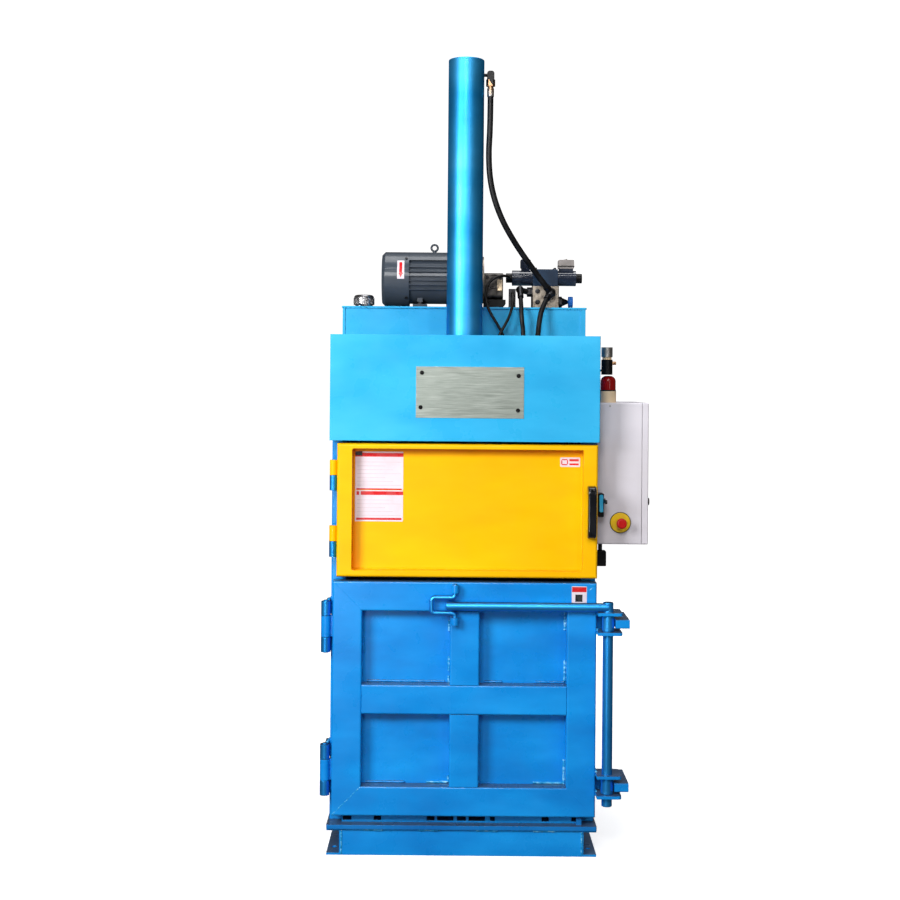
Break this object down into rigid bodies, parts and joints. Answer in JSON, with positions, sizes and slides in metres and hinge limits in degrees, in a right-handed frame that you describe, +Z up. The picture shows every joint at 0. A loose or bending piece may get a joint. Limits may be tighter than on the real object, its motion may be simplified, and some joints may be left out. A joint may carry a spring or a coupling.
{
  "type": "recycling baler",
  "caption": "Upright hydraulic baler with a ram under a tall cylinder, an upper feed door, a lower discharge door with a bar latch, a power pack and a control box.",
  "frame": {"origin": "middle of the four floor anchor holes, on the floor plane", "axes": "+Z up along the cylinder, +X to the control box side, -Y out of the doors"},
  "size_m": [0.9255, 0.706, 2.288],
  "materials": {
    "blue_paint": "glossy enamel",
    "blue_upper_paint": "glossy enamel",
    "yellow_paint": "glossy enamel",
    "cylinder_paint": "glossy enamel",
    "grey_box_paint": "satin powder coat",
    "motor_paint": "satin enamel",
    "steel_plate": "brushed",
    "ground_steel": "ground and plated",
    "dark_steel": "oiled",
    "cast_aluminium": "cast",
    "hose_rubber": "matt",
    "cable_sheath": "matt",
    "black_plastic": "matt",
    "red_plastic": "gloss",
    "yellow_plastic": "gloss",
    "cream_plastic": "matt",
    "blue_plastic": "gloss"
  },
  "bodies": {
    "frame": {"base_frame": "blue_paint", "shelf_plate": "blue_paint", "chamber_floor": "blue_paint", "left_wall": "blue_paint", "right_wall": "blue_paint", "rear_wall": "blue_paint", "left_side_frame": "blue_paint", "right_side_frame": "blue_paint", "crown_frame": "blue_paint", "front_cover": "blue_upper_paint", "nameplate": "steel_plate", "nameplate_rivets": "black_plastic", "hex_bolts": "dark_steel", "cylinder_tube": "cylinder_paint", "cylinder_head": "cylinder_paint", "hose_fittings": "dark_steel", "oil_tank": "blue_upper_paint", "tank_lid": "blue_upper_paint", "breather_cap": "ground_steel", "motor_body": "motor_paint", "fan_cover": "motor_paint", "bell_housing": "cast_aluminium", "gear_pump": "cast_aluminium", "manifold_block": "cast_aluminium", "valve_body": "blue_plastic", "solenoids": "black_plastic", "relief_valve": "dark_steel", "main_hose": "hose_rubber", "lower_hose": "hose_rubber", "return_hose": "hose_rubber", "long_cable": "cable_sheath", "short_cable": "cable_sheath", "control_box": "grey_box_paint", "stop_collar": "yellow_plastic", "lamp_base": "cream_plastic", "lamp_dome": "red_plastic", "position_switches": "black_plastic", "feed_hinge_lugs": "blue_paint", "lower_door_hinges": "blue_paint", "latch_keepers": "blue_paint"},
    "ram": {"piston": "dark_steel", "piston_rod": "ground_steel", "platen_plate": "blue_paint", "platen_frame": "blue_paint"},
    "motor_rotor": {"motor_shaft": "dark_steel", "motor_fan": "black_plastic", "shaft_coupling": "cast_aluminium"},
    "relief_knob": {"relief_knob": "blue_plastic"},
    "feed_door": {"feed_door": "yellow_paint", "feed_handle": "black_plastic"},
    "lower_door": {"lower_door_frame": "blue_paint", "lower_door_panel": "blue_paint", "latch_brackets": "blue_paint"},
    "latch": {"latch_shaft": "blue_paint", "latch_handle": "blue_paint"},
    "handle_catch": {"catch_rod": "blue_paint"},
    "box_door": {"control_box_door": "grey_box_paint"},
    "box_lock": {"box_lock": "black_plastic"},
    "stop_button": {"stop_button": "red_plastic"},
    "switch_lever": {"switch_lever": "ground_steel"}
  },
  "joints": [
    {"name": "ram_slide", "type": "slide", "parent": "frame", "child": "ram", "axis": [0, 0, -1], "range_m": [0, 0.7]},
    {"name": "rotor_spin", "type": "hinge", "parent": "frame", "child": "motor_rotor", "pos_m": [0, 0.21, 1.642], "axis": [1, 0, 0], "continuous": true},
    {"name": "relief_knob_turn", "type": "hinge", "parent": "frame", "child": "relief_knob", "pos_m": [0.33, 0.18, 1.573], "axis": [1, 0, 0], "range_deg": [-360, 360]},
    {"name": "feed_door_hinge", "type": "hinge", "parent": "frame", "child": "feed_door", "pos_m": [-0.365, -0.314, 0.96], "axis": [0, 0, -1], "range_deg": [0, 115]},
    {"name": "lower_door_hinge", "type": "hinge", "parent": "frame", "child": "lower_door", "pos_m": [-0.384, -0.3, 0.44], "axis": [0, 0, -1], "range_deg": [0, 120]},
    {"name": "latch_turn", "type": "hinge", "parent": "lower_door", "child": "latch", "pos_m": [0.401, -0.345, 0.43], "axis": [0, 0, 1], "range_deg": [0, 130]},
    {"name": "handle_catch_turn", "type": "hinge", "parent": "lower_door", "child": "handle_catch", "pos_m": [-0.023, -0.347, 0.7], "axis": [0, 0, 1], "range_deg": [0, 90]},
    {"name": "box_door_hinge", "type": "hinge", "parent": "frame", "child": "box_door", "pos_m": [0.522, 0.044, 1.058], "axis": [0, 0, 1], "range_deg": [0, 110]},
    {"name": "box_lock_turn", "type": "hinge", "parent": "box_door", "child": "box_lock", "pos_m": [0.52, -0.228, 0.983], "axis": [1, 0, 0], "range_deg": [0, 90]},
    {"name": "stop_button_press", "type": "slide", "parent": "frame", "child": "stop_button", "axis": [0, 1, 0], "range_m": [0, 0.006], "stiffness_N_per_m": 900, "springref_m": -0.001},
    {"name": "switch_lever_turn", "type": "hinge", "parent": "frame", "child": "switch_lever", "pos_m": [0.394, -0.281, 0.988], "axis": [1, 0, 0], "range_deg": [-25, 25], "stiffness_Nm_per_rad": 0.3}
  ]
}
